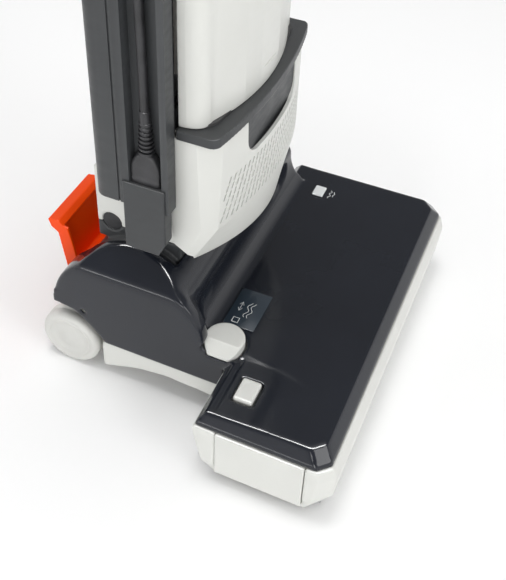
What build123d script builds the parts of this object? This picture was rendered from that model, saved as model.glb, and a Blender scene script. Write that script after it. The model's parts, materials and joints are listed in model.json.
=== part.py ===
"""Commercial upright vacuum cleaner: a wide power head with a driven brush, and a tilting upright body.

Units are millimetres. +Z is up, -Y is the front (the way the head is pushed) and -X is the user's right.
The origin is on the floor under the middle of the whole machine's footprint.
"""

import os
from math import pi, radians, tan

from build123d import *

# Power head: wide front part
HEAD_HALF = 187.0
HEAD_FRONT = -175.0
BUMPER_FRONT = -179.0
NEAR_REAR = -48.0
FAR_REAR = 0.0
CORNER = 11.0
SPLIT_Z = 72.0
DECK_Z = 88.0
BASE_Z = 6.0
WALL = 3.0

# Power head: rear part, between the two arms that carry the body
ARM_NEAR = -118.0
ARM_FAR = 150.0
ARM_WIDTH = 30.0
MID_X = (ARM_NEAR + ARM_FAR) / 2
PIVOT_Y = 52.0
PIVOT_Z = 102.0
DRUM_R = 64.0
DRUM_GAP = 3.9
BASE_STEP = 30.0
FACET_Z = 138.0
SLOT_NEAR = ARM_NEAR + ARM_WIDTH
SLOT_FAR = ARM_FAR - ARM_WIDTH
SADDLE_END = 14.0

# Rolling and brushing parts
WHEEL_Y = 120.3
WHEEL_R = 31.9
WHEEL_WIDTH = 22.0
AXLE_R = 4.0
RUNNING = 0.05
BRUSH_Y = -112.0
BRUSH_Z = 37.0
BRUSH_CORE_R = 24.0
BRISTLE_R = 34.0
TUNNEL_R = 37.0
ROLLER_R = 9.0
ROLLER_Y = -62.0
ROLLER_SIDE = 78.0

# Controls on the head
KNOB_X = -101.0
KNOB_Y = -41.0
KNOB_R = 19.0
KNOB_TOP = 95.0
KNOB_LIP = 82.0
BUTTON_X = -143.0
BUTTON_Y = -82.0

# Upright body
BODY_X = 5.0
HOUSING_BOTTOM = 171.0
HOUSING_KNEE = 212.0
HOUSING_TOP = 303.0
LEDGE_TOP = 312.0
SPINE_HALF = 117.0
SPINE_FRONT = 8.0
SPINE_BACK = 80.0
SPINE_BOTTOM = 233.0
TOP_FRONT = -26.0
HINGE_Y = -28.6
HINGE_Z = LEDGE_TOP + 3.0
SOCKET_TOP = 258.0
SPINE_TOP = 1010.0
COVER_TOP = 875.0
BACK_LIMIT = 156.0
PEDAL_Y = 119.0
PEDAL_Z = 96.0
CENTRE_Y = -(BUMPER_FRONT + BACK_LIMIT) / 2

# Mains lead
CORD_R = 3.75
CHANNEL_X = BODY_X - SPINE_HALF + 6.5
CHANNEL_Y = 30.0
HOOK_LOW = 560.0
HOOK_HIGH = 900.0
HOOK_R = 22.0
HANK_INNER = 24.0
HANK_OUTER = 48.0
HANK_FRONT = SPINE_BACK + 3.5
HANK_BACK = HANK_FRONT + 30.0

PARTS = {}


def keep(name, shape):
    """Stores one named piece."""
    PARTS[name] = shape


def block(x0, x1, y0, y1, z0, z1):
    """Plain box between two corners."""
    return Pos((x0 + x1) / 2, (y0 + y1) / 2, (z0 + z1) / 2) * Box(x1 - x0, y1 - y0, z1 - z0)


def rounded_block(x0, x1, y0, y1, z0, z1, radius):
    """Box with every edge rounded."""
    solid = block(x0, x1, y0, y1, z0, z1)
    return fillet(solid.edges(), radius)


def rod_x(radius, x0, x1, y, z):
    """Round bar along X."""
    return Pos((x0 + x1) / 2, y, z) * Rot(0, 90, 0) * Cylinder(radius, x1 - x0)


def rod_y(radius, x, y0, y1, z):
    """Round bar along Y."""
    return Pos(x, (y0 + y1) / 2, z) * Rot(90, 0, 0) * Cylinder(radius, y1 - y0)


def rod_z(radius, x, y, z0, z1):
    """Round bar along Z."""
    return Pos(x, y, (z0 + z1) / 2) * Cylinder(radius, z1 - z0)


def side_prism(face, x0, x1):
    """Extrudes a (Y, Z) face from x0 to x1."""
    return extrude(Plane.YZ.offset(x0) * face, amount=x1 - x0)


def plan_prism(face, z0, z1):
    """Extrudes an (X, Y) face from z0 to z1."""
    return extrude(Plane.XY.offset(z0) * face, amount=z1 - z0)


def front_prism(points, y0, y1):
    """Extrudes an (X, Z) polygon from y0 to y1."""
    face = make_face(Polyline(*points, close=True))
    plane = Plane(origin=(0, y1, 0), x_dir=(1, 0, 0), z_dir=(0, -1, 0))
    return extrude(plane * face, amount=y1 - y0)


def polygon(points):
    """Closed flat face from its corners."""
    return make_face(Polyline(*points, close=True))


# ---------------------------------------------------------------- power head


def head_outline(inset, front_inset=None):
    """Plan of the wide front part: cut corners in front, a longer far end behind."""
    front = HEAD_FRONT + (inset if front_inset is None else front_inset)
    half = HEAD_HALF - inset
    cut = CORNER
    return [
        (-half, NEAR_REAR - inset),
        (-half, front + cut),
        (-half + cut, front),
        (half - cut, front),
        (half, front + cut),
        (half, FAR_REAR - inset),
        (ARM_NEAR + WALL, FAR_REAR - inset),
        (ARM_NEAR + WALL, NEAR_REAR - inset),
    ]


def stacked(levels):
    """Ruled loft through plan polygons given as (z, points)."""
    return loft([Plane.XY.offset(z) * polygon(points) for z, points in levels], ruled=True)


def arm_profile(inset):
    """Side view of one rear arm: wheel arch, rounded back, drum-shaped top and hollow run-out."""
    r = DRUM_R - inset
    front = PIVOT_Y - r
    top = Line((134 - inset, 81), (134 - inset, 84))
    shape = [
        Line((-58, 45), (79, 45)),
        ThreePointArc((79, 45), (93, 62), (112, 78)),
        Line((112, 78), (134 - inset, 81)),
        top,
        ThreePointArc((134 - inset, 84), (125 - inset, 116), (104 - inset * 0.7, 139 - inset * 0.7)),
    ]
    start = (104 - inset * 0.7, 139 - inset * 0.7)
    shape.append(ThreePointArc(start, (PIVOT_Y + 4, PIVOT_Z + r), (front + 4, PIVOT_Z + 24)))
    shape.append(ThreePointArc((front + 4, PIVOT_Z + 24), (front - 2.5, PIVOT_Z - 2), (-26, DECK_Z - inset)))
    shape.append(Line((-26, DECK_Z - inset), (-58, DECK_Z - inset)))
    shape.append(Line((-58, DECK_Z - inset), (-58, 45)))
    return make_face(shape)


def facet_cut(side_x, inward):
    """Wedge that slopes the outer face of an arm above its crease."""
    out = side_x - inward * 25
    points = [
        (side_x, FACET_Z),
        (side_x + inward * 25, FACET_Z + 31),
        (out, FACET_Z + 31),
        (out, FACET_Z),
    ]
    return front_prism(points, -60, 160)


def head_cover():
    wide = stacked([
        (SPLIT_Z, head_outline(2)),
        (SPLIT_Z + 4, head_outline(2.5)),
        (DECK_Z, head_outline(11)),
    ])
    arms = side_prism(arm_profile(0), ARM_NEAR, ARM_FAR)
    arms -= facet_cut(ARM_NEAR, 1)
    arms -= facet_cut(ARM_FAR, -1)
    arms -= plan_prism(polygon(head_outline(-0.3)), 30, SPLIT_Z)
    shell = wide + arms
    shell -= stacked([(SPLIT_Z - 1, head_outline(5)), (DECK_Z - WALL, head_outline(13))])
    for x0, x1, side_x, inward in (
        (ARM_NEAR + WALL, SLOT_NEAR - WALL, ARM_NEAR + WALL, 1),
        (SLOT_FAR + WALL, ARM_FAR - WALL, ARM_FAR - WALL, -1),
    ):
        hollow = side_prism(arm_profile(WALL), x0, x1)
        hollow -= Pos(0, 0, -WALL / 2) * facet_cut(side_x, inward)
        shell -= hollow
        shell -= block(x0, x1, -60, 140, 30, 80)
    shell -= block(SLOT_NEAR - 6, SLOT_FAR + 6, -60, 140, 30, 80)
    shell -= block(SLOT_NEAR, SLOT_FAR, -60, PIVOT_Y - DRUM_R + WALL, 30, DECK_Z - WALL)
    shell -= block(SLOT_NEAR - 6, SLOT_FAR + 6, -60, PIVOT_Y - DRUM_R, 30, DECK_Z - WALL)
    shell -= block(SLOT_NEAR, SLOT_FAR, SADDLE_END, 160, 30, 200)
    shell -= rod_x(DRUM_R - DRUM_GAP, SLOT_NEAR, SLOT_FAR, PIVOT_Y, PIVOT_Z)
    shell -= block(ARM_NEAR + WALL, ARM_FAR - WALL, -59, -24, 30, DECK_Z - WALL)
    shell -= rod_z(KNOB_R + 1.0, KNOB_X, KNOB_Y, KNOB_LIP, 120)
    shell -= rod_z(15, KNOB_X, KNOB_Y, 60, 90)
    shell -= block(BUTTON_X - 13.5, BUTTON_X + 13.5, BUTTON_Y - 10, BUTTON_Y + 10, 60, 100)
    for x in (SLOT_NEAR - WALL / 2, SLOT_FAR + WALL / 2):
        shell -= rod_x(14.0, x - 4, x + 4, PIVOT_Y, PIVOT_Z)
    keep("head_cover", shell)


def head_base():
    wide = stacked([
        (BASE_Z, [
            (-180, -70), (-180, -154), (-167, -166), (167, -166),
            (180, -154), (180, -18), (ARM_NEAR + BASE_STEP, -18), (ARM_NEAR + BASE_STEP, -70),
        ]),
        (28, [
            (-187, -56), (-187, -161), (-171, BUMPER_FRONT + 2), (171, BUMPER_FRONT + 2),
            (187, -161), (187, -6), (ARM_NEAR + BASE_STEP, -6), (ARM_NEAR + BASE_STEP, -56),
        ]),
        (60, [
            (-187, -49), (-187, -166), (-174, BUMPER_FRONT), (174, BUMPER_FRONT),
            (187, -166), (187, -1), (ARM_NEAR + BASE_STEP, -1), (ARM_NEAR + BASE_STEP, -49),
        ]),
        (SPLIT_Z - 0.2, head_outline(0)),
    ])
    strip = polygon([
        (-60, 22), (15, 26), (43, 22), (58, 17), (80, 9), (85, 9), (84, 41), (79, 44.8), (-60, 44.8),
    ])
    rear = side_prism(strip, ARM_NEAR + 1.5, SLOT_NEAR - 2)
    rear += side_prism(strip, SLOT_FAR + 2, ARM_FAR - 1.5)
    rear += block(ARM_NEAR + 16, ARM_FAR - 16, -60, 40, 16, 20)
    base = wide + rear
    base -= block(-170, 182, -171, -155, 20, 80)
    base -= rod_x(TUNNEL_R + WALL + 1, -171, 160, BRUSH_Y, BRUSH_Z)
    base -= block(-171, 160, BRUSH_Y - 41, BRUSH_Y + 41, 0, BRUSH_Z)
    base -= block(-171, 160, BRUSH_Y - 20, BRUSH_Y + 20, BRUSH_Z, 80)
    base -= block(-190, -170, -153, -70, 16, 80)
    base -= block(160, 183.5, -150, -12, 20, 80)
    base -= block(-114, 160, -71, -26, 16, 80)
    base -= block(-114, 146, -27, 40, 20, 80)
    base -= block(MID_X - 50, MID_X + 50, -84, -70, 34, 64)
    base -= rod_z(KNOB_R + 1, KNOB_X, KNOB_Y, 58, 80)
    base -= block(BUTTON_X - 7, BUTTON_X + 7, BUTTON_Y - 6, BUTTON_Y + 6, 64, 80)
    for x in (-ROLLER_SIDE, ROLLER_SIDE):
        base -= block(x - 11, x + 11, ROLLER_Y - 9.6, ROLLER_Y + 12, 0, 40)
    for x0, x1 in ((ARM_NEAR - 1, ARM_NEAR + 23.5), (ARM_FAR - 23.5, ARM_FAR + 1)):
        base -= block(x0, x1, WHEEL_Y - 36, WHEEL_Y + 36, 0, 80)
    for x0, x1 in ((SLOT_NEAR - 5, SLOT_NEAR - 2), (SLOT_FAR + 2, SLOT_FAR + 5)):
        web = polygon([(-16, 18), (82, 18), (104, 12), (134, 22), (134, 79), (-16, 79)])
        base += side_prism(web, x0, x1)
    for x0, x1 in ((SLOT_NEAR - 6, SLOT_NEAR - 1), (SLOT_FAR + 1, SLOT_FAR + 6)):
        base -= rod_x(AXLE_R, x0, x1, WHEEL_Y, WHEEL_R)
    keep("head_base", base)


def brush_tunnel():
    """Liner over the brush, open to the floor, with a flat duct out of its back wall."""
    outer = rod_x(TUNNEL_R + WALL, -168, 158, BRUSH_Y, BRUSH_Z)
    outer += block(-168, 158, BRUSH_Y - 40, BRUSH_Y + 40, 15, BRUSH_Z)
    outer -= block(-170, 160, BRUSH_Y - 50, BRUSH_Y + 50, -10, 13)
    liner = outer - rod_x(TUNNEL_R, -165, 155, BRUSH_Y, BRUSH_Z)
    liner -= block(-165, 155, BRUSH_Y - 37, BRUSH_Y + 37, 0, BRUSH_Z)
    liner -= rod_x(10, -170, -160, BRUSH_Y, BRUSH_Z)
    liner -= rod_x(10, 150, 160, BRUSH_Y, BRUSH_Z)
    liner -= block(MID_X - 45, MID_X + 45, BRUSH_Y + 20, BRUSH_Y + 45, 39, 59)
    keep("brush_tunnel", liner)
    duct = block(MID_X - 48, MID_X + 48, BRUSH_Y + 30, 22, 36, 62)
    duct -= block(MID_X - 45, MID_X + 45, BRUSH_Y + 20, 23, 39, 59)
    duct -= rod_x(TUNNEL_R + WALL + 0.1, -168, 158, BRUSH_Y, BRUSH_Z)
    duct -= rod_x(DRUM_R - 4.2, SLOT_NEAR, SLOT_FAR, PIVOT_Y, PIVOT_Z)
    keep("head_duct", duct)


def sole_plate():
    plate = block(-168, 176, -166, -46, 3.8, 5.9)
    plate -= block(-160, 150, BRUSH_Y - 26, BRUSH_Y + 26, 0, 20)
    for x in (-ROLLER_SIDE, ROLLER_SIDE):
        plate -= block(x - 11, x + 11, ROLLER_Y - 9.6, ROLLER_Y + 12, 0, 20)
    keep("sole_plate", plate)
    screws = Compound([
        rod_z(3.5, x, y, 3.0, 3.7) for x in (-150, 0, 165) for y in (-158, -54)
    ])
    keep("sole_screws", screws)


def brush():
    core = rod_x(BRUSH_CORE_R, -158, 148, BRUSH_Y, BRUSH_Z)
    core += rod_x(6, -168.8, 166, BRUSH_Y, BRUSH_Z)
    core += rod_x(15, 166, 178, BRUSH_Y, BRUSH_Z)
    keep("brush_roller", core)
    rows = []
    for row in range(4):
        for step in range(13):
            angle = row * 90 + step * 9
            x = -150 + step * 24
            tuft = Pos(x, 0, (BRISTLE_R + BRUSH_CORE_R) / 2 + 0.05) * Box(18, 4, BRISTLE_R - BRUSH_CORE_R)
            rows.append(Pos(0, BRUSH_Y, BRUSH_Z) * Rot(angle, 0, 0) * tuft)
    keep("brush_bristles", Compound(rows))
    for name, x0, x1 in (("brush_bearing_near", -169, -165), ("brush_bearing_far", 155, 158)):
        ring = rod_x(10, x0, x1, BRUSH_Y, BRUSH_Z) - rod_x(6 + RUNNING, x0 - 1, x1 + 1, BRUSH_Y, BRUSH_Z)
        keep(name, ring)


def brush_drive():
    y, z = -44.0, 46.0
    keep("brush_motor", rod_x(21.5, 72, 146, y, z) + rod_x(9, 66, 72, y, z))
    pulley = rod_x(9, 166, 178, y, z) + rod_x(4, 146.2, 166, y, z)
    keep("motor_pulley", pulley)
    keep("drive_belt", belt_loop(y, z, 9.3, BRUSH_Y, BRUSH_Z, 15.3, 167.5, 176.5, 1.6))


def belt_loop(y1, z1, r1, y2, z2, r2, x0, x1, thick):
    """Closed flat belt round two pulleys, as the hull of two circles less the same hull inside."""
    outer = pulley_hull(y1, z1, r1 + thick, y2, z2, r2 + thick)
    inner = pulley_hull(y1, z1, r1, y2, z2, r2)
    return side_prism(outer, x0, x1) - side_prism(inner, x0 - 1, x1 + 1)


def pulley_hull(y1, z1, r1, y2, z2, r2):
    """Face of two circles and the band between their outer tangents."""
    first, second = Vector(y1, z1), Vector(y2, z2)
    along = second - first
    span = along.length
    unit = along / span
    normal = Vector(-unit.Y, unit.X)
    lean = (r1 - r2) / span
    rise = (1 - lean * lean) ** 0.5
    ups = normal * rise + unit * lean
    downs = normal * -rise + unit * lean
    corners = [first + ups * r1, second + ups * r2, second + downs * r2, first + downs * r1]
    band = polygon([(p.X, p.Y) for p in corners])
    return band + Pos(y1, z1) * Circle(r1) + Pos(y2, z2) * Circle(r2)


def end_cap():
    cap = block(-187, -172, -152.6, -70.4, 16.4, 71.4)
    cap -= block(-184, -171, -148, -75, 20, 70)
    cap += rod_x(14, -184, -172.2, BRUSH_Y, BRUSH_Z)
    cap += rod_x(4, -172.2, -169.4, BRUSH_Y, BRUSH_Z)
    keep("end_cap", cap)
    key = rounded_block(BUTTON_X - 12.5, BUTTON_X + 12.5, BUTTON_Y - 9, BUTTON_Y + 9, 78, DECK_Z + 2.5, 2.0)
    stem = block(BUTTON_X - 5, BUTTON_X + 5, BUTTON_Y - 4, BUTTON_Y + 4, 72, 79)
    keep("release_button", key + stem)


def height_control():
    knob = rod_z(KNOB_R, KNOB_X, KNOB_Y, KNOB_LIP + 0.5, KNOB_TOP)
    knob = fillet(knob.edges().group_by(Axis.Z)[-1], 2.0)
    knob -= Pos(KNOB_X - KNOB_R - 3, KNOB_Y, KNOB_TOP) * Rot(0, -45, 0) * Box(22, 60, 22)
    knob -= block(KNOB_X - 40, ARM_NEAR + 0.6, KNOB_Y - 40, KNOB_Y + 40, 60, 120)
    knob += rod_z(14, KNOB_X, KNOB_Y, 62, KNOB_LIP + 1)
    keep("height_knob", knob)
    keep("height_screw", rod_z(8, KNOB_X, KNOB_Y, 18, 61.8))
    carriage = block(-112, 112, ROLLER_Y - 5, ROLLER_Y + 4, 19.5, 24)
    carriage += block(-112, -90, ROLLER_Y, KNOB_Y, 20.5, 24)
    carriage += rod_z(12, KNOB_X, KNOB_Y, 20.5, 31)
    carriage -= rod_z(8.4, KNOB_X, KNOB_Y, 18, 35)
    for x in (-ROLLER_SIDE, ROLLER_SIDE):
        carriage += block(x - 10, x - 7.5, ROLLER_Y - 6, ROLLER_Y + 4, 5, 24)
        carriage += block(x + 7.5, x + 10, ROLLER_Y - 6, ROLLER_Y + 4, 5, 24)
        carriage -= rod_x(2 + RUNNING, x - 11, x + 11, ROLLER_Y, ROLLER_R)
    keep("height_carriage", carriage)
    for name, x in (("front_roller_near", -ROLLER_SIDE), ("front_roller_far", ROLLER_SIDE)):
        wheel = rod_x(ROLLER_R, x - 6.5, x + 6.5, ROLLER_Y, ROLLER_R)
        wheel = fillet(wheel.edges(), 1.5)
        keep(name, wheel + rod_x(2, x - 10, x + 10, ROLLER_Y, ROLLER_R))


def rear_wheels():
    axles = []
    for name, outer, inward in (("near", ARM_NEAR - 1.0, 1), ("far", ARM_FAR + 1.0, -1)):
        inner = outer + inward * WHEEL_WIDTH
        x0, x1 = min(outer, inner), max(outer, inner)
        wheel = fillet(rod_x(WHEEL_R, x0, x1, WHEEL_Y, WHEEL_R).edges(), 4.0)
        dish = rod_x(WHEEL_R - 6, outer - 0.8, outer + 0.8, WHEEL_Y, WHEEL_R)
        wheel -= dish
        bore_end = outer + inward * 5
        b0, b1 = min(bore_end, inner + inward), max(bore_end, inner + inward)
        wheel -= rod_x(AXLE_R + RUNNING, b0, b1, WHEEL_Y, WHEEL_R)
        keep("rear_wheel_" + name, wheel)
        a_out = outer + inward * 6
        a_in = outer + inward * 29
        axles.append(rod_x(AXLE_R, min(a_out, a_in), max(a_out, a_in), WHEEL_Y, WHEEL_R))
    keep("wheel_axles", Compound(axles))


def head_small_parts():
    plate = block(-79, -30, -60, -29, DECK_Z + 0.1, DECK_Z + 1.1)
    keep("level_plate", plate)
    lens = rounded_block(131, 147, -52, -40, DECK_Z + 0.1, DECK_Z + 2.6, 1.2)
    keep("brush_indicator", lens)
    keep("drive_board", block(-20, 50, -60, -30, 66, 68))
    rings = []
    for x0, x1 in ((SLOT_NEAR - WALL - 1, SLOT_NEAR - 0.2), (SLOT_FAR + 0.2, SLOT_FAR + WALL + 1)):
        bore = rod_x(9 + RUNNING, x0 - 1, x1 + 1, PIVOT_Y, PIVOT_Z)
        rings.append(rod_x(14, x0, x1, PIVOT_Y, PIVOT_Z) - bore)
    keep("pivot_bushes", Compound(rings))
    lip = block(-150, 140, -76.6, -73.6, 1, 3.7)
    keep("rear_lip", lip)


# -------------------------------------------------------------- upright body


def bowed(half, corner_y, front_y, rear_y, radius):
    """Plan of the body: straight sides, soft front corners and a bowed front."""
    face = make_face([
        Line((BODY_X - half, rear_y), (BODY_X - half, corner_y)),
        ThreePointArc((BODY_X - half, corner_y), (BODY_X, front_y), (BODY_X + half, corner_y)),
        Line((BODY_X + half, corner_y), (BODY_X + half, rear_y)),
        Line((BODY_X + half, rear_y), (BODY_X - half, rear_y)),
    ])
    front = face.vertices().sort_by(Axis.Y)[:2]
    return fillet(front, radius)


def neck():
    x0, x1 = SLOT_NEAR + 3, SLOT_FAR - 3
    drum = rod_x(DRUM_R - 4.5, x0, x1, PIVOT_Y, PIVOT_Z)
    drum -= rod_x(DRUM_R - 9, x0 + 5, x1 - 5, PIVOT_Y, PIVOT_Z)
    drum -= block(x0 + 5, x1 - 5, -40, 140, 20, PIVOT_Z - 14)
    riser = block(x0 + 6, BODY_X + 84, 14, 100, 150, SPINE_BOTTOM - 0.1)
    riser -= block(x0 + 10, BODY_X + 80, 18, 96, 140, SPINE_BOTTOM + 2)
    riser -= block(x0 + 5, BODY_X + 85, 13, 19, 222, SPINE_BOTTOM + 2)
    riser -= rod_x(10, x0 + 5, x0 + 12, 85, 171)
    neck_piece = drum + riser
    for lug in (x0, x0 + 81):
        neck_piece += block(lug, lug + 4, 90, PEDAL_Y + 7, PEDAL_Z - 7, PEDAL_Z + 7)
    neck_piece -= block(x0 + 10, BODY_X + 80, 18, 86, 140, 170)
    for a, b in ((x0 - 1, x0 + 6), (x1 - 6, x1 + 1)):
        neck_piece -= rod_x(9, a, b, PIVOT_Y, PIVOT_Z)
    neck_piece -= rod_x(3, x0 - 1, x0 + 90, PEDAL_Y, PEDAL_Z)
    keep("neck", neck_piece)
    keep("pivot_pins", Compound([
        rod_x(9, SLOT_NEAR - 6, SLOT_NEAR + 8, PIVOT_Y, PIVOT_Z),
        rod_x(9, SLOT_FAR - 8, SLOT_FAR + 6, PIVOT_Y, PIVOT_Z),
    ]))


def motor_housing():
    outer = loft([
        Plane.XY.offset(HOUSING_BOTTOM) * bowed(99, -1, -36, 13.6, 12),
        Plane.XY.offset(HOUSING_KNEE) * bowed(101, -25, -42, 13.6, 12),
        Plane.XY.offset(HOUSING_TOP) * bowed(101, -27, -38, 13.6, 8),
    ], ruled=True)
    inner = loft([
        Plane.XY.offset(HOUSING_BOTTOM + WALL) * bowed(96, 0, -33, 14.6, 10),
        Plane.XY.offset(HOUSING_KNEE) * bowed(98, -22, -39, 14.6, 10),
        Plane.XY.offset(HOUSING_TOP + 1) * bowed(98, -24, -35, 14.6, 6),
    ], ruled=True)
    keep("motor_housing", outer - inner)
    ledge = plan_prism(bowed(102, -28, -39, 7.6, 8), HOUSING_TOP + 0.1, LEDGE_TOP)
    ledge -= rod_z(16, BODY_X, -10, HOUSING_TOP - 1, LEDGE_TOP + 1)
    keep("body_ledge", ledge)
    keep("exhaust_filter", block(BODY_X - 45, BODY_X + 45, -33, -28, 216, 290))
    keep("fan_motor", rod_x(34, BODY_X - 62, BODY_X + 10, 22, 262))
    rotor = rod_x(33, BODY_X + 15, BODY_X + 38, 22, 262) + rod_x(4, BODY_X + 10.3, BODY_X + 15, 22, 262)
    keep("fan_rotor", rotor)
    keep("inlet_filter", rod_z(15.7, BODY_X, -10, HOUSING_TOP + 2, LEDGE_TOP - 2))


def spine():
    x0, x1 = BODY_X - SPINE_HALF, BODY_X + SPINE_HALF
    back = block(x0, x1, 14, SPINE_BACK, SPINE_BOTTOM, SPINE_TOP)
    back = fillet(back.edges().filter_by(Axis.Z).group_by(Axis.Y)[-1], 12)
    back -= block(x0 + WALL + 16, x1 - WALL, 17, SPINE_BACK - WALL, SPINE_BOTTOM - 1, SPINE_TOP - WALL)
    back -= block(x0 + WALL + 16, x1 - WALL, 10, 20, SPINE_BOTTOM - 1, HOUSING_TOP)
    back -= block(x0 + WALL + 24, x1 - WALL - 8, 10, 20, LEDGE_TOP + 10, COVER_TOP - 20)
    back += block(x0, x0 + 13.6, SPINE_FRONT, 14.4, SPINE_BOTTOM, SPINE_TOP - 60)
    back -= block(x0 - 1, x0 + 12, 14, 44, SPINE_BOTTOM - 1, SPINE_TOP - 80)
    back -= block(x0 - 4, x0 + 12, 10.8, 50.2, SPINE_BOTTOM - 1, SOCKET_TOP + 0.2)
    back -= block(x0 - 1, x0 + 1.2, 53.4, 55, SPINE_BOTTOM - 1, SPINE_TOP - 20)
    keep("body_spine", back)
    outline = [(11, 199), (18, 185), (50, 185), (50, SOCKET_TOP), (11, SOCKET_TOP)]
    socket = side_prism(polygon(outline), x0 - 2, x0 + 11.9)
    keep("lead_socket", socket)
    riser_duct = rod_z(17, BODY_X + 96, 50, 236, 980) - rod_z(15, BODY_X + 96, 50, 235, 981)
    keep("dust_duct", riser_duct)
    screws = [rod_y(3.5, BODY_X + side * 100, SPINE_BACK, SPINE_BACK + 1.2, z)
              for side in (-1, 1) for z in (300, 480, 700, 960)]
    keep("spine_screws", Compound(screws))


def bag_bay():
    barrels = []
    outer = plan_prism(bowed(97, -22, -31, 7.4, 22), LEDGE_TOP + 0.6, COVER_TOP)
    edge = outer.faces().sort_by(Axis.Z)[0].edges().sort_by(Axis.Y)[0]
    outer = fillet(edge, 2.3)
    outer = fillet(outer.edges().group_by(Axis.Z)[-1], 10)
    for x in (BODY_X - 40, BODY_X + 20):
        barrels.append(rod_x(2.4, x, x + 20, HINGE_Y, HINGE_Z))
    inner = plan_prism(bowed(94, -19, -28, 8.4, 19), LEDGE_TOP - 1, COVER_TOP - 3)
    keep("bag_cover", outer - inner + barrels[0] + barrels[1])
    keep("dust_bag", rounded_block(BODY_X - 76, BODY_X + 76, -18, 62, LEDGE_TOP + 14, COVER_TOP - 40, 14))
    keep("bag_collar", block(BODY_X - 40, BODY_X + 40, 0, 50, COVER_TOP - 39.8, COVER_TOP - 35))
    seal_ring = bowed(92, -17, -26, 6, 17) - bowed(89, -14, -23, 3, 14)
    seal = plan_prism(seal_ring, LEDGE_TOP + 0.1, LEDGE_TOP + 3.0)
    keep("bay_floor_seal", seal)
    bottom = COVER_TOP + 3.0
    head = block(BODY_X - 97, BODY_X + 97, TOP_FRONT, 13.8, bottom, SPINE_TOP)
    head = fillet(head.edges().filter_by(Axis.Z).group_by(Axis.Y)[0], 20)
    head -= block(BODY_X - 93, BODY_X + 93, TOP_FRONT + 4, 15, bottom + 4, SPINE_TOP - 4)
    head -= block(BODY_X - 20.4, BODY_X + 20.4, -40, TOP_FRONT + 10, bottom - 1, bottom + 30)
    head -= block(BODY_X + 49.5, BODY_X + 80.5, -40, TOP_FRONT + 10, 949.5, 975.5)
    head -= rod_x(1.5 + RUNNING, BODY_X + 48, BODY_X + 82, TOP_FRONT + 2, 962.5)
    keep("top_housing", head)
    latch = block(BODY_X - 20, BODY_X + 20, TOP_FRONT + 0.4, TOP_FRONT + 4.4, bottom, bottom + 29.6)
    keep("cover_latch", latch)
    rocker = block(BODY_X + 50, BODY_X + 80, TOP_FRONT - 2, TOP_FRONT + 4, 950.5, 974.5)
    rocker += rod_x(1.5, BODY_X + 48.2, BODY_X + 81.8, TOP_FRONT + 2, 962.5)
    keep("power_switch", rocker)


def handle():
    tube = rod_z(15, BODY_X, 44, SPINE_TOP + 0.1, 1120) - rod_z(12.5, BODY_X, 44, SPINE_TOP, 1121)
    keep("handle_tube", tube)
    collar = rod_z(22, BODY_X, 44, SPINE_TOP + 0.1, SPINE_TOP + 26) - rod_z(15.1, BODY_X, 44, SPINE_TOP, SPINE_TOP + 27)
    keep("handle_collar", collar)
    path_face = Pos(44, 1170) * (SlotOverall(100, 62, rotation=90) - SlotOverall(64, 28, rotation=90))
    loop = side_prism(path_face, BODY_X - 15, BODY_X + 15)
    loop = fillet(loop.edges(), 5)
    keep("handle_grip", loop)


def cord_hooks():
    hub = rod_y(HOOK_R, BODY_X, SPINE_BACK + 0.4, HANK_BACK + 2, HOOK_HIGH)
    hub -= rod_y(HOOK_R - 4, BODY_X, SPINE_BACK + 6, HANK_BACK + 4, HOOK_HIGH)
    tip = block(BODY_X - 16, BODY_X + 16, HANK_BACK + 1.5, HANK_BACK + 6, HOOK_HIGH, HOOK_HIGH + 50)
    keep("upper_cord_hook", hub + fillet(tip.edges().filter_by(Axis.Y), 6))
    hub = rod_y(HOOK_R, BODY_X, SPINE_BACK, HANK_BACK + 2, HOOK_LOW)
    hub -= rod_y(HOOK_R - 4, BODY_X, SPINE_BACK + 6, HANK_BACK + 4, HOOK_LOW)
    tip = block(BODY_X - 16, BODY_X + 16, HANK_BACK + 1.5, HANK_BACK + 6, HOOK_LOW - 50, HOOK_LOW)
    keep("lower_cord_hook", hub + fillet(tip.edges().filter_by(Axis.Y), 6))


def pedal():
    x0, x1 = SLOT_NEAR + 7.4, SLOT_NEAR + 83.6
    outline = [
        (PEDAL_Y - 5, PEDAL_Z - 8), (139, 86), (146, 135), (153, 140),
        (BACK_LIMIT, 149), (144, 151), (139, 145), (PEDAL_Y - 5, 141),
    ]
    tray = side_prism(polygon(outline), x0, x1)
    inside = [(100, 91), (135, 91), (142, 141), (136, 149), (100, 149)]
    tray -= side_prism(polygon(inside), x0 + 3, x1 - 3)
    tray += rod_x(6, x0, x1, PEDAL_Y, PEDAL_Z)
    tray -= rod_x(3.0 + RUNNING, x0 - 1, x1 + 1, PEDAL_Y, PEDAL_Z)
    keep("foot_pedal", tray)
    keep("pedal_pin", rod_x(3, SLOT_NEAR + 3, SLOT_NEAR + 88, PEDAL_Y, PEDAL_Z))


# ------------------------------------------------------------------ the lead


def tube(points, radius):
    """Round tube along straight runs joined by arcs as large as the runs allow."""
    places = [Vector(*p) for p in points]
    radii = []
    for before, here, after in zip(places, places[1:], places[2:]):
        one, two = here - before, after - here
        turn = radians(one.get_angle(two))
        radii.append(0.45 * min(one.length, two.length) / tan(turn / 2))
    path = FilletPolyline(*points, radius=radii)
    start = Plane(origin=path @ 0, z_dir=path % 0)
    solid = sweep(start * Circle(radius), path=path)
    print("radii", [round(r, 1) for r in radii])
    print("length", round(path.length, 1), "volume ratio", round(solid.volume / (pi * radius**2 * path.length), 4))
    return solid


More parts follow.
